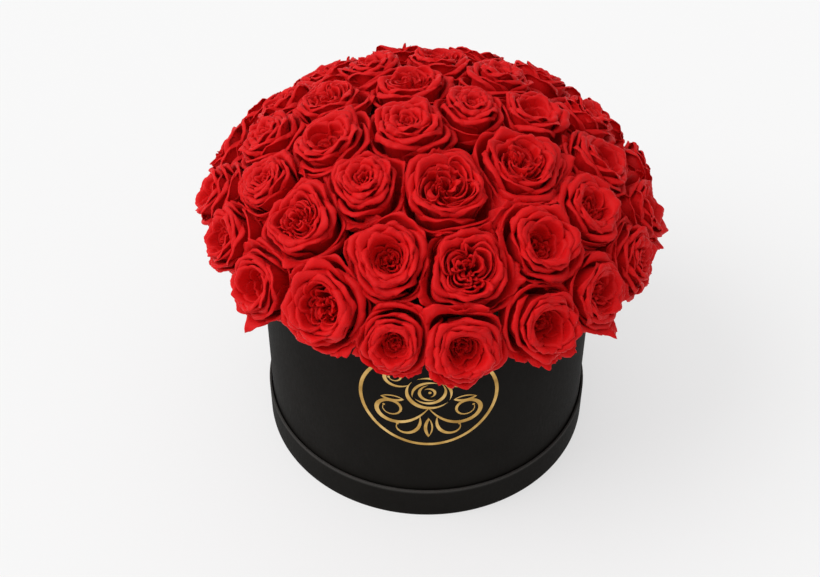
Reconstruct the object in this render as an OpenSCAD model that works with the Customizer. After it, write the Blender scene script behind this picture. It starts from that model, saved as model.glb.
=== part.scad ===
// Round flower box: a hat box standing in its own lid, filled with a dome of garden roses.
// The origin is the centre of the lid's underside. +Z is up, and -Y is the front with the emblem.

/* [Lid used as the base] */
// Outer diameter of the lid's rim
lid_d = 290; // [288:1:294]
// Height of the lid's rim
lid_h = 33; // [25:1:45]
// Board thickness of the lid's rim
rim_board = 1.5; // [1.2:0.1:1.8]

/* [Box] */
// Outer diameter of the box body
box_d = 284; // [283:0.5:284.5]
// Height of the body's rim above the surface that the box stands on
box_top = 212; // [206:1:213]
// Board thickness of the wall and of both round panels
board = 2; // [1.6:0.1:2.2]
// Thickness of the covering paper
paper = 0.3; // [0.2:0.05:0.4]
// How far the covering paper is turned in below the rim
turn_in = 15; // [8:1:25]

/* [Emblem] */
// Outer radius of the foil ring
emblem_r = 56.5; // [50:0.5:60]
// Height of the ring's centre
emblem_z = 149; // [140:1:155]
// Width of the ring's line
emblem_line = 2.8; // [2:0.1:4]
// Foil thickness
foil = 0.2; // [0.1:0.05:0.4]
// Width of a scroll at its thin ends
thinnest = 0.5; // [0.4:0.1:1]
// Radius of the dot at a scroll's end
dot_r = 1.1; // [0.8:0.1:1.5]

/* [Insert] */
// Wall thickness of the waterproof liner
liner_wall = 1; // [0.8:0.1:1.2]
// Height of the liner's rim above the surface that the box stands on
liner_top = 205; // [195:1:206]
// Height of the polystyrene riser under the foam
riser_h = 98; // [90:1:98]
// Height of a brick of floral foam
brick_h = 80; // [70:1:80]
// Width of a brick of floral foam
brick_w = 110; // [100:1:112]
// Length of a brick of floral foam
brick_l = 230; // [220:1:240]

/* [Flowers] */
// Radius of the dome on which the flower faces lie
dome_r = 185; // [184:0.5:188]
// Height of that dome's crown above its widest level
dome_rise = 116; // [114:0.5:118]
// Height of that dome's widest level
dome_z = 211; // [210:0.5:214]
// Height of a bloom as a share of its width
bloom_aspect = 0.74; // [0.7:0.01:0.76]
// Share of a free flower's width that its neighbours leave to it
bloom_fill = 0.9; // [0.8:0.01:0.9]
// Stem diameter
stem_d = 5.5; // [4:0.5:6]
// Length of stem below the calyx
stem_l = 50; // [40:1:55]

/* [Hidden] */
$fn = 96;
scroll_steps = 44;  // straight steps along a scroll of the emblem

// Clearances
nest_gap = 0.2;  // between pieces that stand on each other and lift apart
glue_gap = 0.1;  // between pieces that are glued or packed together
hole_gap = 0.1;  // around a stem in the foam, on the radius

// Lid, from the outside in
rim_r = lid_d / 2 - paper;
rim_in = rim_r - rim_board;
panel_top = paper + board;

// Box, from the outside in
wall_r = box_d / 2 - paper;
wall_in = wall_r - board;
box_base = panel_top + nest_gap;
floor_base = box_base + paper;
floor_top = floor_base + board;
wall_top = box_top - paper;

// Liner, riser and foam, from the box floor up
liner_r = wall_in - paper - 0.5;
liner_in = liner_r - liner_wall;
liner_base = floor_top + nest_gap;
riser_base = liner_base + liner_wall + glue_gap;
lower_base = riser_base + riser_h + glue_gap;
upper_base = lower_base + brick_h + glue_gap;
foam_r = liner_in - 0.5;
foam_top = 264;
// Outline of the upper foam, carved to a low crown: [radius, height]
crown = [
    [0, upper_base], [foam_r, upper_base], [foam_r, liner_top],
    [126, 213], [121, 230], [70, 262], [0, foam_top]
];

// The flowers, ring by ring from the crown down. One row is one flower:
// [turn from the front towards +X, angle down from the crown, width, how far it stands out]
top_roses = [
    [300, 6, 62, 0], [115, 12, 50, 0], [195, 16, 56, 0]
];
inner_roses = [
    [10, 24, 70, 0], [59, 27, 66, 0], [105, 28, 56, 0], [141, 31, 58, 0], [174, 33, 56, 0],
    [208, 33, 56, 0], [242, 30, 56, 0], [280, 26, 62, 0], [322, 26, 58, 0]
];
middle_roses = [
    [346, 45, 60, 0], [12, 48, 68, 0], [39, 48, 62, 2], [64, 50, 54, 0], [88, 50, 54, 0],
    [112, 51, 56, 0], [138, 52, 58, 0], [164, 53, 58, 0], [190, 53, 58, 0], [215, 52, 58, 0],
    [239, 50, 54, 0], [262, 46, 54, 0], [286, 46, 54, 0], [310, 45, 62, 0]
];
outer_roses = [
    [331, 65, 70, 2], [351, 72, 52, 2], [8, 73, 60, 7], [30, 72, 62, 4], [48, 72, 56, 2],
    [66, 75, 54, 3], [84, 73, 54, 4], [102, 76, 56, 4], [121, 77, 56, 2], [140, 79, 56, 4],
    [159, 78, 56, 4], [178, 76, 56, 2], [197, 77, 56, 3], [216, 79, 56, 4], [235, 76, 56, 2],
    [254, 71, 54, 4], [273, 70, 54, 5], [291, 69, 54, 4], [310, 71, 58, 2]
];
roses = concat(top_roses, inner_roses, middle_roses, outer_roses);

function ring_names(ring, rows) = [for (i = [1 : len(rows)]) str("rose_", ring, "_", i)];
rose_names = concat(
    ring_names("top", top_roses), ring_names("inner", inner_roses),
    ring_names("middle", middle_roses), ring_names("outer", outer_roses)
);

// Shared shapes

// A tube between two radii and two heights
module tube(r_out, r_in, z0, z1) {
    translate([0, 0, z0])
        linear_extrude(z1 - z0)
            difference() {
                circle(r_out);
                circle(r_in);
            }
}

// A disc from one height to another
module disc(r, z0, z1) {
    translate([0, 0, z0])
        cylinder(r = r, h = z1 - z0);
}

// Paper over the outside of a board tube, folded over its top edge and turned in
module wrap(r_out, r_in, z0, top, inside_length) {
    rotate_extrude()
        polygon([
            [r_out, z0], [r_out + paper, z0], [r_out + paper, top], [r_in - paper, top],
            [r_in - paper, top - inside_length], [r_in, top - inside_length],
            [r_in, top - paper], [r_out, top - paper]
        ]);
}

// Lid

module lid_panel() {
    color("dimgray")
        disc(rim_in - glue_gap, paper, panel_top);
}

module lid_panel_paper() {
    color([0.07, 0.07, 0.07])
        disc(rim_r - glue_gap, 0, paper);
}

module lid_rim() {
    color("gray")
        tube(rim_r, rim_in, paper, lid_h - paper);
}

module lid_rim_paper() {
    color([0.09, 0.09, 0.09])
        wrap(rim_r, rim_in, glue_gap, lid_h, lid_h * 0.6);
}

// Box

module box_floor() {
    color("dimgray")
        disc(wall_in - glue_gap, floor_base, floor_top);
}

module box_floor_paper() {
    color([0.07, 0.07, 0.07])
        disc(wall_r - glue_gap, box_base, floor_base);
}

module box_wall() {
    color("gray")
        tube(wall_r, wall_in, floor_base, wall_top);
}

module box_wall_paper() {
    color([0.09, 0.09, 0.09])
        wrap(wall_r, wall_in, box_base, box_top, turn_in);
}

// A foil stroke along an arc, pointed at both ends and widest in its middle, on the -X side
module arc_stroke(r, widest, sweep, turn) {
    shift = widest * (2 * r - widest) / (2 * (r - r * cos(sweep / 2) - widest));
    rotate(turn)
        difference() {
            circle(r);
            translate([shift, 0])
                circle(r + shift - widest);
        }
}

// A curve whose bend grows evenly along its length, from bend0 to bend1 in degrees per mm
function scroll_heading(s, length, heading, bend0, bend1) =
    heading + bend0 * s + (bend1 - bend0) * s * s / (2 * length);
function scroll_step(i, length, heading, bend0, bend1) =
    let (step = length / scroll_steps,
         a = scroll_heading((i - 0.5) * step, length, heading, bend0, bend1))
    step * [cos(a), sin(a)];
function scroll_points(start, length, heading, bend0, bend1) = [
    for (i = 0, p = start;
         i <= scroll_steps;
         i = i + 1, p = p + scroll_step(i, length, heading, bend0, bend1))
        p
];

// A foil stroke along such a curve: it swells, thins out and ends in a dot
module scroll(start, length, heading, bend0, bend1, widest) {
    points = scroll_points(start, length, heading, bend0, bend1);
    sides = [
        for (i = [0 : scroll_steps])
            let (t = i / scroll_steps,
                 a = scroll_heading(t * length, length, heading, bend0, bend1),
                 w = thinnest + widest * pow(sin(180 * pow(t, 0.8)), 1.2))
            w / 2 * [-sin(a), cos(a)]
    ];
    polygon(concat(
        [for (i = [0 : scroll_steps]) points[i] + sides[i]],
        [for (i = [scroll_steps : -1 : 0]) points[i] - sides[i]]
    ));
    translate(points[scroll_steps])
        circle(dot_r);
}

// A pointed oval from the origin along +X
module pointed_oval(length, width) {
    r = (length * length + width * width) / (4 * width);
    intersection() {
        translate([length / 2, width / 2 - r]) circle(r);
        translate([length / 2, r - width / 2]) circle(r);
    }
}

// The outline of a leaf from the origin along +X, with a heavier lower edge
module foil_leaf(length, width) {
    difference() {
        pointed_oval(length, width);
        translate([length * 0.1, 0.7])
            pointed_oval(length * 0.8, width - 4);
    }
}

// An open rose drawn as arcs, each turned inside the last
module foil_rose() {
    arc_stroke(19, 3.6, 190, 50);
    arc_stroke(19, 3.2, 150, 226);
    translate([0.5, 1]) arc_stroke(14, 3, 200, 130);
    translate([0, -0.5]) arc_stroke(14, 2.6, 140, 310);
    translate([0.5, 0.5]) arc_stroke(9.4, 2.6, 210, 20);
    translate([0.5, 1]) arc_stroke(5.4, 2.2, 230, 210);
    translate([0.8, 1]) circle(1.3);
}

// The drawing inside the ring, on its own centre: a rose over scrolls and leaves
module foil_drawing() {
    translate([0, 8]) foil_rose();
    translate([0, -22]) rotate(-90) foil_leaf(24, 7.5);
    for (side = [0, 1])
        mirror([side, 0]) {
            scroll([0, -10], 116, -58, 0.5, 8.8, 3.2);
            scroll([7, -21], 42, -96, 0.8, 9.5, 2.6);
            scroll([16, 17], 60, -30, 2.6, 13, 2.6);
            translate([20, -1]) rotate(2) foil_leaf(19, 7.5);
        }
}

module emblem() {
    color("goldenrod")
        intersection() {
            tube(box_d / 2 + foil, box_d / 2, emblem_z - emblem_r - 1, emblem_z + emblem_r + 1);
            translate([0, 0, emblem_z])
                rotate([90, 0, 0])
                    linear_extrude(box_d) {
                        difference() {
                            circle(emblem_r);
                            circle(emblem_r - emblem_line);
                        }
                        foil_drawing();
                    }
        }
}

// Insert

module liner() {
    color([0.15, 0.15, 0.15])
        rotate_extrude()
            polygon([
                [0, liner_base], [liner_r, liner_base], [liner_r, liner_top], [liner_in, liner_top],
                [liner_in, liner_base + liner_wall], [0, liner_base + liner_wall]
            ]);
}

module riser() {
    color("white")
        disc(foam_r, riser_base, riser_base + riser_h);
}

// The block that one brick fills before it is trimmed: side is -1 for the left, 1 for the right
module brick(side, z0, height) {
    reach = brick_w - glue_gap;
    translate([side > 0 ? glue_gap : -brick_w, -brick_l / 2, z0])
        cube([reach, brick_l, height]);
}

// The upper foam before it is cut into bricks, with a hole for every stem
module carved_foam() {
    difference() {
        rotate_extrude()
            polygon(crown);
        for (row = roses)
            at_face(row)
                translate([0, 0, -bloom_h(row) - stem_l - 1])
                    cylinder(d = stem_d + 2 * hole_gap, h = stem_l + bloom_h(row) * 0.3, $fn = 24);
    }
}

module foam_lower_bricks() {
    color("darkgreen")
        for (side = [-1, 1])
            intersection() {
                disc(foam_r, lower_base, lower_base + brick_h);
                brick(side, lower_base, brick_h);
            }
}

module foam_upper(side) {
    color("green")
        intersection() {
            carved_foam();
            brick(side, upper_base, foam_top - upper_base + 1);
        }
}

module foam_upper_left() {
    foam_upper(-1);
}

module foam_upper_right() {
    foam_upper(1);
}

// The pieces cut from a spare brick that fill the four gaps round the square of bricks
module foam_offcuts() {
    square_w = 2 * (brick_w + glue_gap);
    square_l = brick_l + 2 * glue_gap;
    color("forestgreen")
        difference() {
            union() {
                disc(foam_r, lower_base, upper_base);
                carved_foam();
            }
            translate([-square_w / 2, -square_l / 2, 0])
                cube([square_w, square_l, foam_top + 1]);
        }
}

// Flowers

function face_r(row) = dome_r * sin(row[1]);
function face_z(row) = dome_z + dome_rise * cos(row[1]);
function lean(row) = atan2(sin(row[1]) / dome_r, cos(row[1]) / dome_rise);
function bloom_h(row) = bloom_aspect * row[2];

// Moves a flower, drawn with its face centre at the origin and its stem down, to its place
module at_face(row) {
    rotate([0, 0, row[0] - 90])
        translate([face_r(row), 0, face_z(row)])
            rotate([0, lean(row), 0])
                translate([0, 0, row[3]])
                    children();
}

// One complete flower: stem, calyx and a cupped bloom, as one turned shape
module rose(row) {
    r = row[2] / 2 * bloom_fill;
    h = bloom_h(row);
    color("crimson")
        at_face(row)
            rotate_extrude($fn = 48)
                polygon([
                    [0, -h - stem_l], [stem_d / 2, -h - stem_l], [stem_d / 2, -h - 4],
                    [0.22 * r, -h], [0.4 * r, -0.92 * h], [0.58 * r, -0.82 * h],
                    [0.76 * r, -0.68 * h], [0.88 * r, -0.5 * h], [0.97 * r, -0.32 * h],
                    [r, -0.18 * h], [0.94 * r, -0.07 * h], [0.74 * r, 0], [0, -0.06 * h]
                ]);
}

lid_panel();
lid_panel_paper();
lid_rim();
lid_rim_paper();
box_floor();
box_floor_paper();
box_wall();
box_wall_paper();
emblem();
liner();
riser();
foam_lower_bricks();
foam_upper_left();
foam_upper_right();
foam_offcuts();
for (i = [0 : len(roses) - 1])
    rose(roses[i]);
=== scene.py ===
"""Flower box: a round black hat box standing in its own lid, with a dome of red garden roses."""

import math

import bpy
import numpy as np
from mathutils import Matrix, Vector


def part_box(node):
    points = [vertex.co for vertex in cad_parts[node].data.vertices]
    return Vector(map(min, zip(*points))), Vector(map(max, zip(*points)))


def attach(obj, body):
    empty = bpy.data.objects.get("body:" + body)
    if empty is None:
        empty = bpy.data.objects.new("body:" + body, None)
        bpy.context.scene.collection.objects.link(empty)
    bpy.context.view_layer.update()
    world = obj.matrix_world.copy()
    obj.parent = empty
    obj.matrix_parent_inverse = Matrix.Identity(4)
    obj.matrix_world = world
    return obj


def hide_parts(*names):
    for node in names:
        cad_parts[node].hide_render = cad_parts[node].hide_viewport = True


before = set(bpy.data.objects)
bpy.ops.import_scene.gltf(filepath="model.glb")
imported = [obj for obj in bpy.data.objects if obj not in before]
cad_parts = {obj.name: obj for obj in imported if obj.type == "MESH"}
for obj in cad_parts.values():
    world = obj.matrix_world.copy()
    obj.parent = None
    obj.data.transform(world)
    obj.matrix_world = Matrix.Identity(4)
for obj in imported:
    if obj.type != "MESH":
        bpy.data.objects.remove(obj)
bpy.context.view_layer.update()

MM = 0.001
RNG_SEED = 7


# ---------------------------------------------------------------- small helpers


def link(obj):
    bpy.context.scene.collection.objects.link(obj)
    return obj


def smoothstep(low, high, x):
    t = np.clip((x - low) / (high - low), 0.0, 1.0)
    return t * t * (3.0 - 2.0 * t)


def wave(rng, x, terms=3, base=1.0):
    """A smooth random curve through x, from about -1 to 1."""
    total = np.zeros_like(x)
    for k in range(1, terms + 1):
        phase = rng.uniform(0.0, 2.0 * math.pi)
        size = rng.uniform(0.5, 1.0) / k
        total += size * np.sin(base * k * x + phase)
    return total / 1.4


# ---------------------------------------------------------------- camera and light


def make_camera():
    """The camera stands above and in front of the box, and looks at the middle of it."""
    elevation = math.radians(44.65)
    distance = 1.284
    target = Vector((-0.0151, 0.0, 0.1347))
    data = bpy.data.cameras.new("camera")
    data.sensor_width = 36.0
    data.lens = 64.14
    cam = link(bpy.data.objects.new("camera", data))
    cam.location = target + distance * Vector((0.0, -math.cos(elevation), math.sin(elevation)))
    cam.rotation_euler = (math.pi / 2 - elevation, 0.0, 0.0)
    bpy.context.scene.camera = cam


def far_light(name, direction, width, strength):
    """A far, wide lamp: direction points to it, and width is how wide it looks, in degrees."""
    data = bpy.data.lights.new(name, "SUN")
    data.angle = math.radians(width)
    data.energy = strength
    lamp = link(bpy.data.objects.new(name, data))
    lamp.rotation_euler = Vector(direction).to_track_quat("Z", "Y").to_euler()


def make_sky():
    """A soft studio surround, brightest above and to the left of the box."""
    brightest = Vector((-0.70, 0.12, 0.70)).normalized()
    world = bpy.data.worlds.new("studio")
    world.use_nodes = True
    tree = world.node_tree
    background = tree.nodes["Background"]
    background.inputs["Color"].default_value = (1.0, 1.0, 1.0, 1.0)
    where = tree.nodes.new("ShaderNodeTexCoord")
    facing = tree.nodes.new("ShaderNodeVectorMath")
    facing.operation = "DOT_PRODUCT"
    facing.inputs[1].default_value = brightest
    level = tree.nodes.new("ShaderNodeMapRange")
    level.inputs["From Min"].default_value = -1.0
    level.inputs["To Min"].default_value = 0.05
    level.inputs["To Max"].default_value = 1.05
    tree.links.new(where.outputs["Generated"], facing.inputs[0])
    tree.links.new(facing.outputs["Value"], level.inputs["Value"])
    tree.links.new(level.outputs["Result"], background.inputs["Strength"])
    bpy.context.scene.world = world


def make_light():
    """A wide soft key from above and to the left, and a weak low light on the right."""
    make_sky()
    far_light("key", (-0.66, -0.16, 0.74), 40.0, 1.22)
    far_light("side", (0.88, -0.44, 0.07), 22.0, 0.14)
    bpy.context.scene.view_settings.view_transform = "Standard"


def make_floor():
    """A plain matt floor that glows a little, so that shadows on it stay pale."""
    grey = 0.33
    glow = 0.59
    side = 40.0
    material = bpy.data.materials.new("studio_floor")
    material.use_nodes = True
    shader = material.node_tree.nodes["Principled BSDF"]
    shader.inputs["Base Color"].default_value = (grey, grey, grey, 1.0)
    shader.inputs["Roughness"].default_value = 0.9
    shader.inputs["Specular IOR Level"].default_value = 0.0
    shader.inputs["Emission Color"].default_value = (1.0, 1.0, 1.0, 1.0)
    shader.inputs["Emission Strength"].default_value = glow
    corners = [(-side, -side, 0), (side, -side, 0), (side, side, 0), (-side, side, 0)]
    mesh = bpy.data.meshes.new("floor")
    mesh.from_pydata(corners, [], [(0, 1, 2, 3)])
    mesh.materials.append(material)
    mesh.update()
    link(bpy.data.objects.new("floor", mesh))


# ---------------------------------------------------------------- materials


class Nodes:
    """Builds a material's node tree with short calls."""

    sockets = {
        "colour": "Base Color",
        "roughness": "Roughness",
        "metallic": "Metallic",
        "specular": "Specular IOR Level",
        "sheen": "Sheen Weight",
        "sheen_roughness": "Sheen Roughness",
        "sheen_tint": "Sheen Tint",
        "subsurface": "Subsurface Weight",
        "subsurface_radius": "Subsurface Radius",
        "subsurface_scale": "Subsurface Scale",
    }

    def __init__(self, name):
        self.material = bpy.data.materials.new(name)
        self.material.use_nodes = True
        self.tree = self.material.node_tree
        self.shader = self.tree.nodes["Principled BSDF"]

    def add(self, kind, **settings):
        node = self.tree.nodes.new(kind)
        for key, value in settings.items():
            setattr(node, key, value)
        return node

    def feed(self, socket, value):
        """Links a socket to another one, or sets it to a number or a colour."""
        if isinstance(value, bpy.types.NodeSocket):
            self.tree.links.new(value, socket)
        elif socket.type == "RGBA":
            socket.default_value = (*value, 1.0)
        else:
            socket.default_value = value

    def set(self, **values):
        for key, value in values.items():
            self.feed(self.shader.inputs[self.sockets[key]], value)
        return self.material

    def object_space(self):
        return self.add("ShaderNodeTexCoord").outputs["Object"]

    def tone(self):
        return self.add("ShaderNodeAttribute", attribute_name="tone").outputs["Fac"]

    def noise(self, vector, scale, detail=3.0, roughness=0.5):
        node = self.add("ShaderNodeTexNoise")
        node.inputs["Scale"].default_value = scale
        node.inputs["Detail"].default_value = detail
        node.inputs["Roughness"].default_value = roughness
        self.feed(node.inputs["Vector"], vector)
        return node.outputs["Fac"]

    def ramp(self, fac, stops):
        node = self.add("ShaderNodeValToRGB")
        elements = node.color_ramp.elements
        while len(elements) < len(stops):
            elements.new(0.5)
        for element, (place, colour) in zip(elements, stops):
            element.position = place
            element.color = (*colour, 1.0)
        self.feed(node.inputs["Fac"], fac)
        return node.outputs["Color"]

    def scaled(self, vector, factors):
        node = self.add("ShaderNodeVectorMath", operation="MULTIPLY")
        node.inputs[1].default_value = factors
        self.feed(node.inputs[0], vector)
        return node.outputs["Vector"]

    def math(self, operation, *values):
        node = self.add("ShaderNodeMath", operation=operation)
        for socket, value in zip(node.inputs, values):
            self.feed(socket, value)
        return node.outputs["Value"]

    def mix(self, share, pattern, under, over):
        """The colour over laid on the colour under, as strongly as share times the pattern."""
        node = self.add("ShaderNodeMix", data_type="RGBA")
        factor, colour_a, colour_b = (node.inputs[i] for i in (0, 6, 7))
        self.feed(factor, self.math("MULTIPLY", pattern, share))
        self.feed(colour_a, under)
        self.feed(colour_b, over)
        return node.outputs[2]

    def bump(self, height, distance, strength):
        node = self.add("ShaderNodeBump")
        node.inputs["Strength"].default_value = strength
        node.inputs["Distance"].default_value = distance
        self.feed(node.inputs["Height"], height)
        self.feed(self.shader.inputs["Normal"], node.outputs["Normal"])


def petal_material():
    """Velvety red petals with fine long veins, and painted shade that darkens them towards their bases
    and lower in the gaps between the blooms, so that they are paler at the rims.
    """
    n = Nodes("rose_petal")
    uv = n.add("ShaderNodeUVMap", uv_map="petal").outputs["UV"]
    split = n.add("ShaderNodeSeparateXYZ")
    n.feed(split.inputs["Vector"], uv)
    veins = n.noise(n.scaled(uv, (26.0, 2.2, 1.0)), 1.6, detail=4.0, roughness=0.6)
    crinkle = n.noise(n.scaled(uv, (9.0, 4.0, 1.0)), 2.0, detail=5.0, roughness=0.6)
    cloud = n.noise(n.object_space(), 70.0, detail=2.0)
    # The body colour is painted shade: it runs from dark at the petals' feet and low in the gaps
    # between the blooms to bright at the lit rims.
    body = n.ramp(split.outputs["Y"], [
        (0.0, (0.18, 0.0, 0.001)),
        (0.30, (0.57, 0.001, 0.003)),
        (0.60, (0.69, 0.005, 0.005)),
        (1.0, (0.70, 0.006, 0.007)),
    ])
    veined = n.mix(0.22, veins, body, (0.44, 0.001, 0.003))
    clouded = n.mix(0.2, cloud, veined, (0.78, 0.008, 0.011))
    toned = n.mix(0.25, n.tone(), clouded, (0.48, 0.001, 0.004))
    n.bump(n.math("ADD", veins, crinkle), 0.6 * MM, 0.5)
    return n.set(
        colour=toned,
        roughness=0.55,
        specular=0.12,
        sheen=0.07,
        sheen_roughness=0.4,
        sheen_tint=(1.0, 0.25, 0.25),
        subsurface=0.15,
        subsurface_radius=(1.0, 0.06, 0.04),
        subsurface_scale=4.0 * MM,
    )


def green_material():
    """Stems, calyxes and sepals: matt green with a reddish flush."""
    n = Nodes("rose_green")
    flush = n.noise(n.object_space(), 60.0)
    colour = n.ramp(flush, [
        (0.3, (0.035, 0.10, 0.018)),
        (0.6, (0.07, 0.17, 0.03)),
        (0.8, (0.14, 0.12, 0.035)),
    ])
    n.bump(n.noise(n.object_space(), 900.0), 0.2 * MM, 0.5)
    return n.set(colour=colour, roughness=0.6)


def black_paper_material():
    """Black covering paper: a fine pressed grain, a soft satin shine and rubbed folds."""
    n = Nodes("black_covering_paper")
    place = n.object_space()
    grain = n.noise(place, 1500.0, roughness=0.65)
    fibre = n.noise(n.scaled(place, (1.0, 1.0, 0.35)), 420.0, detail=4.0, roughness=0.6)
    cloud = n.noise(place, 18.0)
    mottle = n.noise(place, 160.0, detail=4.0, roughness=0.6)
    base = n.ramp(cloud, [(0.3, (0.0048, 0.0042, 0.0034)), (0.7, (0.0078, 0.0070, 0.0060))])
    mottled = n.mix(0.4, mottle, base, (0.011, 0.0095, 0.0085))
    flecked = n.mix(0.35, grain, mottled, (0.013, 0.012, 0.011))
    worn = n.mix(0.8, n.math("MULTIPLY", n.tone(), grain), flecked, (0.10, 0.095, 0.09))
    n.bump(n.math("ADD", n.math("MULTIPLY", grain, 0.6), fibre), 0.18 * MM, 0.6)
    return n.set(colour=worn, roughness=n.math("MULTIPLY_ADD", fibre, 0.22, 0.54), specular=0.035)


def greyboard_material():
    """Pressed grey board with paler and darker fibres."""
    n = Nodes("greyboard_fibre")
    place = n.object_space()
    fibre = n.noise(n.scaled(place, (1.0, 1.0, 0.3)), 700.0, detail=5.0, roughness=0.7)
    fleck = n.noise(place, 2200.0, detail=2.0)
    base = n.ramp(fibre, [(0.3, (0.22, 0.21, 0.195)), (0.7, (0.38, 0.365, 0.34))])
    n.bump(fibre, 0.2 * MM, 0.6)
    return n.set(colour=n.mix(0.3, fleck, base, (0.14, 0.13, 0.12)), roughness=0.85)


def gold_foil_material():
    """Hot-stamped foil: satin gold that takes up the grain of the paper under it."""
    n = Nodes("gold_foil_stamp")
    place = n.object_space()
    grain = n.noise(place, 900.0)
    cloud = n.noise(place, 60.0, detail=2.0)
    base = n.ramp(cloud, [
        (0.3, (0.38, 0.21, 0.045)),
        (0.5, (0.57, 0.34, 0.09)),
        (0.7, (0.78, 0.52, 0.19)),
    ])
    n.bump(grain, 0.08 * MM, 0.5)
    return n.set(colour=base, roughness=n.math("MULTIPLY_ADD", grain, 0.2, 0.28), metallic=0.9)


def liner_material():
    """Thin black moulded plastic, matt, with faint flow marks."""
    n = Nodes("liner_black_plastic")
    place = n.object_space()
    flow = n.noise(n.scaled(place, (1.0, 1.0, 6.0)), 40.0)
    base = n.ramp(flow, [(0.3, (0.007, 0.007, 0.007)), (0.7, (0.012, 0.012, 0.012))])
    n.bump(n.noise(place, 1200.0), 0.1 * MM, 0.4)
    return n.set(colour=base, roughness=0.55, specular=0.10)


def polystyrene_material():
    """White expanded polystyrene with its fused beads."""
    n = Nodes("polystyrene_beads")
    bead = n.add("ShaderNodeTexVoronoi", feature="DISTANCE_TO_EDGE")
    bead.inputs["Scale"].default_value = 260.0
    n.feed(bead.inputs["Vector"], n.object_space())
    edge = bead.outputs["Distance"]
    seam = n.ramp(edge, [(0.0, (0.62, 0.62, 0.60)), (0.12, (0.86, 0.86, 0.84))])
    n.bump(n.math("MINIMUM", edge, 0.25), 1.5 * MM, 0.7)
    return n.set(colour=seam, roughness=0.6)


def foam_material():
    """Dark green wet floral foam with fine open cells."""
    n = Nodes("floral_foam_cells")
    place = n.object_space()
    cell = n.noise(place, 1600.0, detail=4.0, roughness=0.7)
    damp = n.noise(place, 35.0)
    base = n.ramp(cell, [(0.35, (0.004, 0.014, 0.006)), (0.65, (0.022, 0.065, 0.026))])
    n.bump(cell, 0.5 * MM, 0.9)
    return n.set(colour=n.mix(0.6, damp, base, (0.006, 0.020, 0.008)), roughness=0.9)


# ---------------------------------------------------------------- meshes from grids


def quads(index):
    """The four corners of every cell of a grid of point numbers."""
    a = index[:-1, :-1]
    b = index[1:, :-1]
    c = index[1:, 1:]
    d = index[:-1, 1:]
    return np.stack([a, b, c, d], axis=-1).reshape(-1, 4)


def lattice(rows, cols):
    """The point numbers of a grid."""
    return np.arange(rows * cols).reshape(rows, cols)


def ring_points(radius, height, turn):
    """A grid of points, one profile of radius and height after another round the z axis."""
    turn = turn[:, None]
    return np.stack([radius * np.cos(turn), radius * np.sin(turn), height + 0.0 * turn], axis=2)


class Shells:
    """Collects closed shells and turns them into one mesh object."""

    def __init__(self):
        self.points = []
        self.uvs = []
        self.tones = []
        self.loops = []
        self.sizes = []
        self.slots = []
        self.count = 0

    def add(self, points, faces, slot, uv, tone):
        """Adds a closed shell. The faces of one array all have the same number of corners."""
        self.points.append(points)
        self.uvs.append(uv)
        self.tones.append(tone)
        for block in faces:
            self.loops.append((block + self.count).ravel())
            self.sizes.append(np.full(len(block), block.shape[1]))
            self.slots.append(np.full(len(block), slot))
        self.count += len(points)

    def sheet(self, grid, thickness, slot, uv, tone):
        """A thin closed shell over a grid of points; thickness may vary from point to point."""
        rows, cols = grid.shape[:2]
        normal = np.cross(np.gradient(grid, axis=0), np.gradient(grid, axis=1))
        normal /= np.linalg.norm(normal, axis=2, keepdims=True) + 1e-12
        back = grid - normal * thickness[..., None]
        index = lattice(rows, cols)
        front = quads(index)
        behind = front[:, ::-1] + rows * cols
        ring = np.concatenate([index[:-1, 0], index[-1, :-1], index[:0:-1, -1], index[0, :0:-1]])
        after = np.roll(ring, -1)
        side = np.stack([after, ring, ring + rows * cols, after + rows * cols], axis=1)
        points = np.concatenate([grid.reshape(-1, 3), back.reshape(-1, 3)])
        both_uv = np.concatenate([uv.reshape(-1, 2)] * 2)
        both_tone = np.concatenate([tone.ravel()] * 2)
        self.add(points, [front, behind, side], slot, both_uv, both_tone)

    def lathe(self, radius, height, sides, slot):
        """A closed body of revolution from its profile, which starts and ends off the axis."""
        turn = np.linspace(0.0, 2.0 * math.pi, sides, endpoint=False)
        index = lattice(sides, len(radius))
        around = quads(np.vstack([index, index[:1]]))
        caps = [index[::-1, 0][None, :], index[:, -1][None, :]]
        points = ring_points(radius, height, turn).reshape(-1, 3)
        self.add(points, [around, *caps], slot, np.zeros((len(points), 2)), np.zeros(len(points)))

    def object(self, name, materials, axes=np.eye(3), origin=np.zeros(3)):
        """One object of all the shells, turned to the axes and moved to the origin given."""
        points = np.concatenate(self.points) @ axes.T + origin
        loops = np.concatenate(self.loops)
        sizes = np.concatenate(self.sizes)
        starts = np.concatenate([[0], np.cumsum(sizes)[:-1]])
        mesh = bpy.data.meshes.new(name)
        mesh.vertices.add(len(points))
        mesh.vertices.foreach_set("co", points.astype(np.float32).ravel())
        mesh.loops.add(len(loops))
        mesh.loops.foreach_set("vertex_index", loops.astype(np.int32))
        mesh.polygons.add(len(sizes))
        mesh.polygons.foreach_set("loop_start", starts.astype(np.int32))
        mesh.polygons.foreach_set("material_index", np.concatenate(self.slots).astype(np.int32))
        mesh.polygons.foreach_set("use_smooth", np.ones(len(sizes), bool))
        for material in materials:
            mesh.materials.append(material)
        layer = mesh.uv_layers.new(name="petal")
        layer.data.foreach_set("uv", np.concatenate(self.uvs)[loops].astype(np.float32).ravel())
        tone = mesh.attributes.new("tone", "FLOAT", "POINT")
        tone.data.foreach_set("value", np.concatenate(self.tones).astype(np.float32))
        mesh.update(calc_edges=True)
        mesh.validate()
        return link(bpy.data.objects.new(name, mesh))


# ---------------------------------------------------------------- petals


PETAL_SLOT = 0
GREEN_SLOT = 1


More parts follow.
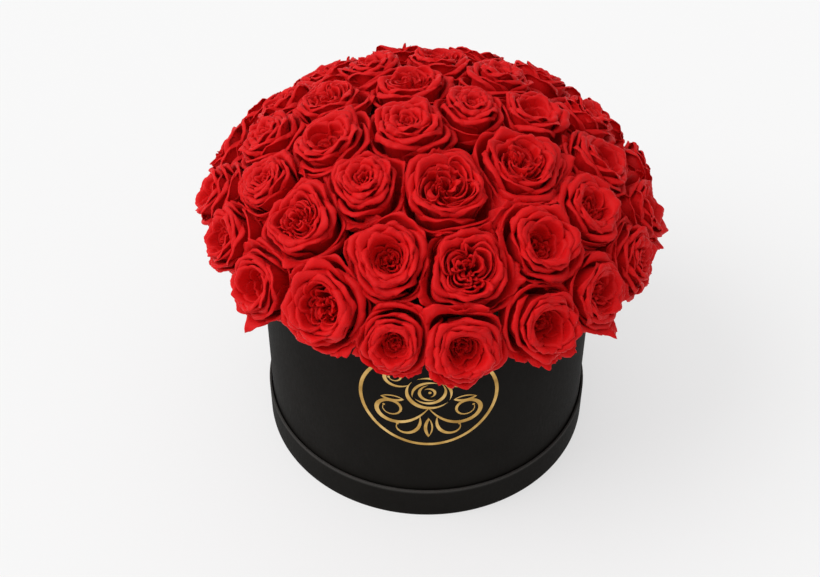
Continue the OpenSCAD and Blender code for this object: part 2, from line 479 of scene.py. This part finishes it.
def rim_line(rng, u, reach, top, base, ruffle, spiral):
    """How far out and how high the top of a petal's cup lies, from side to side of the petal.

    It falls away towards the petal's sides and wanders in and out by the ruffle.
    """
    wander = wave(rng, u, 4, 2.6) + 0.45 * wave(rng, u, 4, 6.0) + 0.24 * wave(rng, u, 2, 15.0)
    wander = ruffle * wander
    side = np.abs(u)
    out = reach * (1.0 + spiral * u - 0.05 * u ** 2) + 0.7 * wander
    up = top - 0.16 * reach * side ** 2.6 - 0.1 * side ** 3 * (top - base) + wander
    return out, up


def cup(foot, out, base, up, swing, rows):
    """A petal's climb from foot to rim along part of an ellipse, and the heading that it ends with."""
    t = swing * np.linspace(0.0, 1.0, rows)[None, :]
    r = foot + (out - foot) * (np.sin(t) / math.sin(swing))
    z = base + (up - base) * ((1.0 - np.cos(t)) / (1.0 - math.cos(swing)))
    rise = (up - base) * math.sin(swing) / (1 - math.cos(swing))
    run = (out - foot) * math.cos(swing) / math.sin(swing) + 1e-9
    return r, z, np.arctan2(rise, run)


def rolled_rim(rng, u, start, roll, curl, point, rows):
    """How far out and up a petal's rim goes as it rolls outwards from the heading of its cup."""
    w = np.linspace(0.0, 1.0, rows + 1)[None, 1:]
    turned = curl * (1.0 + 0.38 * wave(rng, u, 3, 2.0)) * (1.0 - 0.35 * np.abs(u) ** 4)
    size = roll * (1.0 + 0.32 * wave(rng, u, 3, 2.2) + 0.10 * wave(rng, u, 3, 11.0))
    tip = 1.0 + point * np.exp(-np.abs(u) / 0.20)
    heading = start - turned * w ** 1.25
    step = size * curl * tip / rows
    return np.cumsum(np.cos(heading) * step, axis=1), np.cumsum(np.sin(heading) * step, axis=1)


def petal(rng, turn, reach, top, base, half, flare, roll, curl, point, ruffle, spiral, cells):
    """One petal as a grid of points in the rose's own space, in metres.

    turn is the way it faces, and half is half the angle that it spans. It climbs from the base of
    the bloom as a quarter of an ellipse, as far round it as flare says, to reach and top. Its rim
    then rolls outwards by curl radians, on a radius of roll, and point draws its tip out. One side
    of it lies further out than the other by the share spiral.
    """
    sides, rows = cells
    rolled = rows // 2
    u = np.linspace(-1.0, 1.0, sides)[:, None]
    s = np.linspace(0.0, 1.0, rows)[None, :]
    out, up = rim_line(rng, u, reach, top, base, ruffle, spiral)
    foot = 0.16 * reach
    r_cup, z_cup, start = cup(foot, out, base, up, flare * math.pi / 2, rows - rolled)
    r_roll, z_roll = rolled_rim(rng, u, start, roll, curl, point, rolled)
    r = np.hstack([r_cup, r_cup[:, -1:] + r_roll])
    z = np.hstack([z_cup, z_cup[:, -1:] + z_roll])
    r = r + wave(rng, u + 0.25 * s, 3, 4.0) * s ** 2 * ruffle * 0.8
    widening = 0.72 + 0.28 * np.sin(math.pi * np.minimum(s * 1.15, 1.0)) ** 0.7
    narrowing = 1.0 - 0.16 * np.clip((s - 0.72) / 0.28, 0.0, 1.0) ** 2
    lean = 0.10 * rng.uniform(-1.0, 1.0) * s
    angle = turn + u * (half * widening * narrowing) + lean
    return np.stack([r * np.cos(angle), r * np.sin(angle), z], axis=2)


class Heart:
    """The folding of a bloom's middle, where the crowded petals are pressed into uneven lobes."""

    lobes = ((2, 0.4), (3, 0.75), (5, 0.45), (8, 0.22))  # how many lobes go round, and how strong
    lag = 0.8  # radians from a lobe's swell to its sideways shift
    sideways = 1.1
    lift = 0.22

    def __init__(self, rng, radius, fold, crumple):
        self.radius = radius
        self.fold = fold
        self.crumple = crumple
        self.parts = []
        for number, size in self.lobes:
            phase = rng.uniform(0.0, 2.0 * math.pi)
            twist = rng.uniform(2.0, 5.0) * rng.choice([-1, 1])
            self.parts.append((number, phase, twist, size))

    def __call__(self, points):
        x, y = points[..., 0], points[..., 1]
        r = np.hypot(x, y) / self.radius
        angle = np.arctan2(y, x)
        swell = 0.0
        shift = 0.0
        for number, phase, twist, size in self.parts:
            swell = swell + size * np.cos(number * angle + phase + twist * r)
            shift = shift + size * np.sin(number * angle + phase + twist * r + self.lag)
        share = self.fold * smoothstep(self.crumple, 0.45 * self.crumple, r)
        folded = self.radius * r * (1.0 + share * swell)
        turned = angle + self.sideways * share * shift
        points[..., 0] = folded * np.cos(turned)
        points[..., 1] = folded * np.sin(turned)
        points[..., 2] += self.lift * self.radius * share * shift
        return points


class Room:
    """The space a bloom has among its neighbours: it is pressed in towards them and opens into gaps.

    widest is how far it opens into a gap, and hang is how much less it opens down over the box,
    both as shares of its radius.
    """

    steps = 72  # directions round the bloom
    tightest = 0.80  # the least that a crowded bloom keeps, as a share of its radius
    clearance = 0.975  # how much of its space it takes up
    near = 1.6  # blooms further apart than this many times their radii don't meet
    sharpness = 8.0  # how sharp the corners between three blooms are

    def __init__(self, own, others, widest, hang):
        centre, axes, self.radius = own
        turn = np.arange(self.steps) * 2.0 * math.pi / self.steps
        aims = np.cos(turn)[:, None] * axes[:, 0] + np.sin(turn)[:, None] * axes[:, 1]
        free = self.radius * (widest - hang * smoothstep(0.0, 0.9, -np.sin(turn)))
        crowd = free ** -self.sharpness
        for place, _, size in others:
            gap = place - centre
            distance = np.linalg.norm(gap)
            if distance < 1e-6 or distance > self.near * (self.radius + size):
                continue
            facing = np.maximum(aims @ (gap / distance), 1e-3)
            share = self.radius / (self.radius + size)
            crowd += (distance * share / facing) ** -self.sharpness
        limit = crowd ** (-1.0 / self.sharpness) / self.radius * self.clearance
        limit = np.clip(limit, self.tightest, widest)
        limit = (np.roll(limit, 1) + 2.0 * limit + np.roll(limit, -1)) / 4.0
        self.limits = np.append(limit, limit[0])

    def __call__(self, points):
        x, y = points[..., 0], points[..., 1]
        r = np.hypot(x, y) / self.radius
        angle = np.arctan2(y, x) % (2.0 * math.pi)
        turn = np.linspace(0.0, 2.0 * math.pi, self.steps + 1)
        stretch = np.interp(angle, turn, self.limits)
        scale = 1.0 + (stretch - 1.0) * smoothstep(0.1, 0.9, r)
        points[..., 0] *= scale
        points[..., 1] *= scale
        return points


# ---------------------------------------------------------------- roses


GOLDEN = math.radians(137.508)
BLOOM_HEIGHT = 1.48  # from its calyx to its face, as a share of its radius

# How each kind of bloom opens: its number of petals, the radius of its heart, how deep the heart
# sinks, how far out the heart's upright petals reach, how strongly the heart is folded, how far out
# the folding reaches, and the roll of the rims, as shares of the bloom's radius or height.
STYLES = {
    "spiral": dict(petals=30, heart=0.08, sink=0.05, edge=0.30, fold=0.08, crumple=0.40, rim=0.066),
    "hollow": dict(petals=34, heart=0.07, sink=0.40, edge=0.48, fold=0.16, crumple=0.50, rim=0.072),
    "quartered": dict(petals=34, heart=0.10, sink=0.08, edge=0.64, fold=0.36, crumple=0.76, rim=0.068),
    "crumpled": dict(petals=34, heart=0.08, sink=0.24, edge=0.50, fold=0.34, crumple=0.60, rim=0.078),
}


class Bloom:
    """The petals of one rose: rolled rims nested round the heart, then the guard petals outside.

    turn is the way that the next petal faces, and hand the direction in which they follow one
    another.
    """

    def __init__(self, shells, rng, radius, height, style, room):
        self.shells = shells
        self.rng = rng
        self.radius = radius
        self.height = height
        self.style = style
        self.room = room
        self.heart = Heart(rng, radius, style["fold"], style["crumple"])
        self.hand = rng.choice([-1.0, 1.0])
        self.turn = rng.uniform(0.0, 2.0 * math.pi)

    def add(self, grid, foot_shade, deep):
        """Adds a petal's grid as a closed sheet that thins towards its rim.

        depth says how strongly painted shade darkens its foot, and painted shade also darkens what
        lies lower in the gaps between the blooms, as measured by deep.
        """
        grid = self.room(grid)
        sides, rows = grid.shape[:2]
        s = np.linspace(0.0, 1.0, rows)[None, :] + np.zeros((sides, 1))
        u = np.linspace(0.0, 1.0, sides)[:, None] + np.zeros((1, rows))
        thickness = (0.7 - 0.3 * s) * MM
        # Painted shade: each petal's foot, and what lies lower in the gaps between the blooms, is
        # painted darker through the petal UV that the colour ramp reads.
        clear_of_gap_shade = smoothstep(-0.95 * deep, -0.50 * deep, grid[..., 2])
        along = s ** foot_shade * (0.28 + 0.72 * clear_of_gap_shade)
        uv = np.stack([u + self.rng.uniform(0.0, 7.0), along], axis=2)
        tone = self.rng.uniform(0.0, 1.0) + 0.0 * s
        self.shells.sheet(grid, thickness, PETAL_SLOT, uv, tone)

    def nested(self):
        """The rolled rims that lie inside one another, down to the heart.

        x is how far out a petal lies, as a share of the radius, and inner how far it belongs to the
        heart, whose petals stand upright and hardly roll.
        """
        rng, radius, height, style = self.rng, self.radius, self.height, self.style
        folded = style["fold"] >= 0.2
        for i in range(style["petals"]):
            k = i / (style["petals"] - 1)
            x = 1.0 - (1.0 - style["heart"]) * k ** 0.80
            inner = smoothstep(style["edge"] + 0.10, style["edge"] - 0.22, x)
            hollow = style["sink"] * smoothstep(style["edge"] + 0.06, style["edge"] - 0.18, x)
            top = height * (0.08 - 0.20 * x ** 3.4 - hollow + rng.uniform(-0.035, 0.03))
            base = -height * (0.94 - 0.30 * inner)
            widening = -8.0 if folded else 20.0
            half = math.radians(63.0 + widening * inner) * rng.uniform(0.88, 1.12)
            grid = petal(
                rng,
                turn=self.turn,
                reach=0.89 * radius * x,
                top=top,
                base=min(base, top - 0.25 * height),
                half=half,
                flare=0.88 + 0.08 * inner,
                roll=radius * (style["rim"] * (1.0 - inner) + 0.026) * rng.uniform(0.65, 1.35),
                curl=math.radians(122.0 - 52.0 * inner) * rng.uniform(0.84, 1.15),
                point=0.05 + 0.12 * x,
                ruffle=radius * (0.028 + 0.042 * inner * min(1.0, 3.0 * style["fold"])),
                spiral=0.045 * self.hand,
                cells=(25, 13) if x > 0.45 else (19, 11),
            )
            # Painted shade: the petals of the heart, and most of all those of a sunken heart, get
            # darker feet.
            self.add(self.heart(grid), 0.14 + (0.12 + 1.5 * style["sink"]) * inner, height)
            self.turn += self.hand * GOLDEN + rng.uniform(-0.16, 0.16)

    def guards(self):
        """Six broad petals that stand round the bloom."""
        rng, radius, height = self.rng, self.radius, self.height
        for _ in range(6):
            self.turn += self.hand * math.radians(63.0) + rng.uniform(-0.25, 0.25)
            grid = petal(
                rng,
                turn=self.turn,
                reach=radius * rng.uniform(0.99, 1.06),
                top=-height * rng.uniform(0.13, 0.32),
                base=-height * 0.98,
                half=math.radians(rng.uniform(56.0, 72.0)),
                flare=0.90,
                roll=radius * rng.uniform(0.05, 0.10),
                curl=math.radians(rng.uniform(80.0, 120.0)),
                point=0.3,
                ruffle=radius * 0.035,
                spiral=0.035 * self.hand,
                cells=(31, 15),
            )
            self.add(grid, 0.20, height)

    def loose(self):
        """Two narrower petals on opposite sides that have started to fold back."""
        rng, radius, height = self.rng, self.radius, self.height
        for _ in range(2):
            self.turn += self.hand * math.radians(160.0) + rng.uniform(-0.6, 0.6)
            grid = petal(
                rng,
                turn=self.turn,
                reach=radius * rng.uniform(0.93, 1.0),
                top=-height * rng.uniform(0.22, 0.42),
                base=-height * 0.99,
                half=math.radians(rng.uniform(30.0, 42.0)),
                flare=0.80,
                roll=radius * rng.uniform(0.18, 0.26),
                curl=math.radians(rng.uniform(56.0, 84.0)),
                point=0.25,
                ruffle=radius * 0.05,
                spiral=0.05 * self.hand,
                cells=(29, 15),
            )
            self.add(grid, 0.20, height)

    def flags(self, aims):
        """Big loose petals that hang out over a gap or the box, facing the ways given in degrees."""
        rng, radius, height = self.rng, self.radius, self.height
        for aim in aims:
            grid = petal(
                rng,
                turn=math.radians(aim),
                reach=radius,
                top=-height * rng.uniform(0.24, 0.36),
                base=-height * 0.99,
                half=math.radians(rng.uniform(38.0, 48.0)),
                flare=0.82,
                roll=radius * rng.uniform(0.25, 0.32),
                curl=math.radians(rng.uniform(62.0, 84.0)),
                point=0.35,
                ruffle=radius * 0.05,
                spiral=0.05,
                cells=(31, 17),
            )
            self.add(grid, 0.18, 1.6 * height)


def stem(shells, height, length):
    """The stem, from its cut end in the foam up to the calyx under the bloom."""
    radius_and_height = np.array([
        (2.55 * MM, -length),
        (2.6 * MM, -length * 0.9),
        (2.7 * MM, -height - 12 * MM),
        (3.4 * MM, -height - 6 * MM),
        (5.2 * MM, -height + 1 * MM),
        (4.16 * MM, -height + 4 * MM),
    ])
    shells.lathe(*radius_and_height.T, sides=20, slot=GREEN_SLOT)


def sepals(shells, rng, height):
    """Five narrow leaves that spread from the calyx and droop at their tips."""
    u = np.linspace(-1.0, 1.0, 7)[:, None]
    s = np.linspace(0.0, 1.0, 11)[None, :]
    width = 3.4 * MM * (1.0 - s) ** 0.8 + 0.35 * MM
    reach = 4.6 * MM + 17 * MM * s
    drop = -height + 2 * MM + 6 * MM * np.sin(2.2 * s) - 5 * MM * s ** 2
    for k in range(5):
        turn = 2.0 * math.pi * k / 5 + rng.uniform(-0.2, 0.2)
        grid = np.stack([
            math.cos(turn) * reach - math.sin(turn) * u * width,
            math.sin(turn) * reach + math.cos(turn) * u * width,
            drop + 1.0 * MM * u ** 2,
        ], axis=2)
        flat = np.zeros(grid.shape[:2])
        shells.sheet(grid, flat + 0.5 * MM, GREEN_SLOT, np.stack([flat, flat], axis=2), flat)


def rose_frame(points):
    """A CAD rose's face centre, axes, radius and length, from its mesh.

    The cut end of the stem is the part furthest from the middle, and the rose's axis runs from it.
    The CAD head leaves out the outermost tenth of the bloom's radius.
    """
    cut_end = 6.5 * MM
    bloom_fill = 0.9
    middle = points.mean(axis=0)
    far = points[np.argmax(np.linalg.norm(points - middle, axis=1))]
    tip = points[np.linalg.norm(points - far, axis=1) < cut_end].mean(axis=0)
    axis = middle - tip
    axis /= np.linalg.norm(axis)
    along = (points - tip) @ axis
    out = np.linalg.norm(points - tip - np.outer(along, axis), axis=1)
    face = tip + axis * along.max()
    side = np.cross((0.0, 0.0, 1.0), axis)
    side /= np.linalg.norm(side)
    climb = np.cross(axis, side)
    return face, np.column_stack([side, climb, axis]), out.max() / bloom_fill, along.max()


def rose(name, style, seed, shape, room, materials):
    """One cut rose in place of its CAD node."""
    face, axes, radius, length = shape
    height = BLOOM_HEIGHT * radius
    rng = np.random.default_rng(RNG_SEED * 1000 + seed)
    shells = Shells()
    bloom = Bloom(shells, rng, radius, height, STYLES[style], room)
    bloom.nested()
    bloom.guards()
    bloom.loose()
    bloom.flags(FLAGS.get(name, ()))
    stem(shells, height, length)
    sepals(shells, rng, height)
    obj = shells.object(name + "_bloom", materials, axes, face)
    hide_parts(name)
    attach(obj, "insert")


# Which kind each rose is, where it can be seen from the front. The rest take turns.
BLOOMS = {
    "rose_top_1": "spiral", "rose_top_2": "spiral", "rose_top_3": "quartered",
    "rose_inner_1": "quartered", "rose_inner_2": "quartered", "rose_inner_3": "hollow",
    "rose_inner_4": "spiral", "rose_inner_5": "quartered", "rose_inner_6": "spiral",
    "rose_inner_7": "quartered", "rose_inner_8": "crumpled", "rose_inner_9": "spiral",
    "rose_middle_1": "hollow", "rose_middle_2": "quartered", "rose_middle_3": "hollow",
    "rose_middle_4": "crumpled", "rose_middle_5": "crumpled", "rose_middle_6": "spiral",
    "rose_middle_11": "quartered", "rose_middle_12": "spiral", "rose_middle_13": "spiral",
    "rose_middle_14": "quartered", "rose_outer_1": "crumpled", "rose_outer_2": "hollow",
    "rose_outer_3": "hollow", "rose_outer_4": "hollow", "rose_outer_5": "crumpled",
    "rose_outer_6": "spiral", "rose_outer_7": "hollow", "rose_outer_18": "crumpled",
    "rose_outer_19": "hollow",
}

# Big loose guard petals: the way each points round its bloom's face in degrees, 90 being towards
# the crown of the dome and -90 down over the box.
FLAGS = {
    "rose_outer_1": (-40.0,),
    "rose_outer_2": (55.0, -62.0),
    "rose_outer_3": (55.0, 110.0, -125.0),
    "rose_outer_4": (-150.0, -95.0, -55.0),
    "rose_outer_5": (-90.0, -35.0),
    "rose_outer_6": (-75.0, -40.0),
    "rose_outer_7": (-100.0, 20.0),
    "rose_outer_18": (-95.0, 165.0),
    "rose_outer_19": (-80.0, 130.0),
    "rose_middle_1": (-140.0,),
    "rose_middle_2": (-20.0, -155.0),
    "rose_middle_3": (150.0, 95.0),
    "rose_middle_4": (120.0,),
    "rose_middle_14": (-60.0,),
    "rose_inner_1": (-25.0,),
    "rose_inner_2": (-40.0, -110.0),
    "rose_inner_9": (-75.0,),
}

# How far a bloom may open into a gap, as a share of its radius, in the lowest row and in the others.
WIDEST_LOW = 1.06
WIDEST = 1.16

# How much less a bloom of the lowest row opens down over the box than into a gap, as a share of its
# radius. The blooms of the front right hang lower than the rest.
USUAL_HANG = 0.28
HANG = {"rose_outer_5": 0.12, "rose_outer_6": 0.06, "rose_outer_7": 0.0}


def make_roses():
    """All the roses, each fitted to its CAD node and to the space between its neighbours."""
    open_wider = 1.09  # a bloom's radius as a share of the CAD bloom's, before it is pressed in
    materials = [petal_material(), green_material()]
    kinds = list(STYLES)
    names = sorted(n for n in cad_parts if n.startswith("rose_"))
    shapes = {}
    places = {}
    for name in names:
        points = np.array([v.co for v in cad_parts[name].data.vertices], float)
        face, axes, radius, length = rose_frame(points)
        radius *= open_wider
        shapes[name] = face, axes, radius, length
        places[name] = face - axes[:, 2] * 0.5 * radius, axes, radius
    for seed, name in enumerate(names):
        if name.startswith("rose_outer"):
            room = Room(places[name], places.values(), WIDEST_LOW, HANG.get(name, USUAL_HANG))
        else:
            room = Room(places[name], places.values(), WIDEST, 0.0)
        style = BLOOMS.get(name, kinds[seed % len(kinds)])
        rose(name, style, seed, shapes[name], room, materials)


# ---------------------------------------------------------------- box and lid


def dress(node, material):
    """Gives a CAD node its procedural material."""
    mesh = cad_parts[node].data
    mesh.materials.clear()
    mesh.materials.append(material)


def arc(centre, radius, first, last, steps):
    """Points on an arc in the plane of a profile, from one angle to another in degrees."""
    turn = np.radians(np.linspace(first, last, steps))
    return [(centre[0] + radius * math.cos(a), centre[1] + radius * math.sin(a)) for a in turn]


def wrap_profile(node, board, inside, fold):
    """The wrapped paper's closed profile, how rubbed each point is, and which points face out.

    It goes up the outside, over a rounded fold, down inside as far as inside says, and back up and
    down over the board.
    """
    paper = 0.3 * MM
    low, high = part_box(node)
    outer, bottom, top = high.y, low.z, high.z
    inner = outer - board - 2.0 * paper
    foot = [(outer - 0.25 * MM, bottom), (outer - 0.08 * MM, bottom + 0.25 * MM)]
    climb = [(outer, z) for z in np.linspace(bottom + 1.0 * MM, top - 3.0 * MM, 40)]
    over = arc((outer - fold, top - fold), fold, 0.0, 90.0, 7)
    down = arc((inner + fold, top - fold), fold, 90.0, 180.0, 7)
    end = [(inner, top - inside), (inner + paper, top - inside)]
    back = [(inner + paper, top - paper), (outer - paper, top - paper), (outer - paper, bottom)]
    profile = np.array(foot + climb + over + down + end + back)
    rub = np.zeros(len(profile))
    crown = len(foot) + len(climb)
    rub[:len(foot)] = 1.0
    rub[len(foot)] = 0.35
    rub[crown - 1] = 0.15
    rub[crown:crown + len(over) + len(down)] = 1.0
    facing_out = np.arange(len(profile)) < crown + len(over)
    return profile, rub, facing_out


def paper_wrap(name, node, board, inside, fold, body, material):
    """Covering paper round a tube of board, whose two ends lap at the back.

    The edge of the upper end stands out by a step, which fades away round the tube.
    """
    profile, rub, facing_out = wrap_profile(node, board, inside, fold)
    outer = profile[:, 0].max()
    seam = math.pi / 2
    lap = 13.0 * MM / outer
    edge = [seam - lap / 2 + offset * MM / outer for offset in (-0.30, -0.05, 0.05)]
    step = 0.22 * MM
    turn = np.linspace(0.0, 2.0 * math.pi, 360, endpoint=False)
    turn = np.sort(np.concatenate([turn, edge]))
    raised = smoothstep(edge[0], edge[-1], turn) * smoothstep(seam + lap, seam + lap / 3, turn)
    radius = profile[:, 0] + step * raised[:, None] * facing_out
    grid = ring_points(radius, profile[:, 1], turn)
    index = lattice(*grid.shape[:2])
    index = np.vstack([index, index[:1]])
    index = np.hstack([index, index[:, :1]])
    points = grid.reshape(-1, 3)
    shells = Shells()
    shells.add(points, [quads(index)], 0, np.zeros((len(points), 2)), np.tile(rub, len(turn)))
    obj = shells.object(name, [material])
    obj.data.set_sharp_from_angle(angle=math.radians(50.0))
    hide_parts(node)
    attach(obj, body)


def make_box():
    """The lid, the box in it, the foil stamp and everything inside the box."""
    paper = black_paper_material()
    board = greyboard_material()
    foam = foam_material()
    for node in ("lid_panel", "lid_rim", "box_floor", "box_wall"):
        dress(node, board)
    for node in ("lid_panel_paper", "box_floor_paper"):
        dress(node, paper)
    for node in ("foam_lower_bricks", "foam_upper_left", "foam_upper_right", "foam_offcuts"):
        dress(node, foam)
    dress("emblem", gold_foil_material())
    dress("liner", liner_material())
    dress("riser", polystyrene_material())
    paper_wrap("box_wrap", "box_wall_paper", 2.0 * MM, 15.3 * MM, 0.8 * MM, "box", paper)
    paper_wrap("lid_wrap", "lid_rim_paper", 1.5 * MM, 15.3 * MM, 0.7 * MM, "lid", paper)


make_camera()
make_light()
make_floor()
make_box()
make_roses()
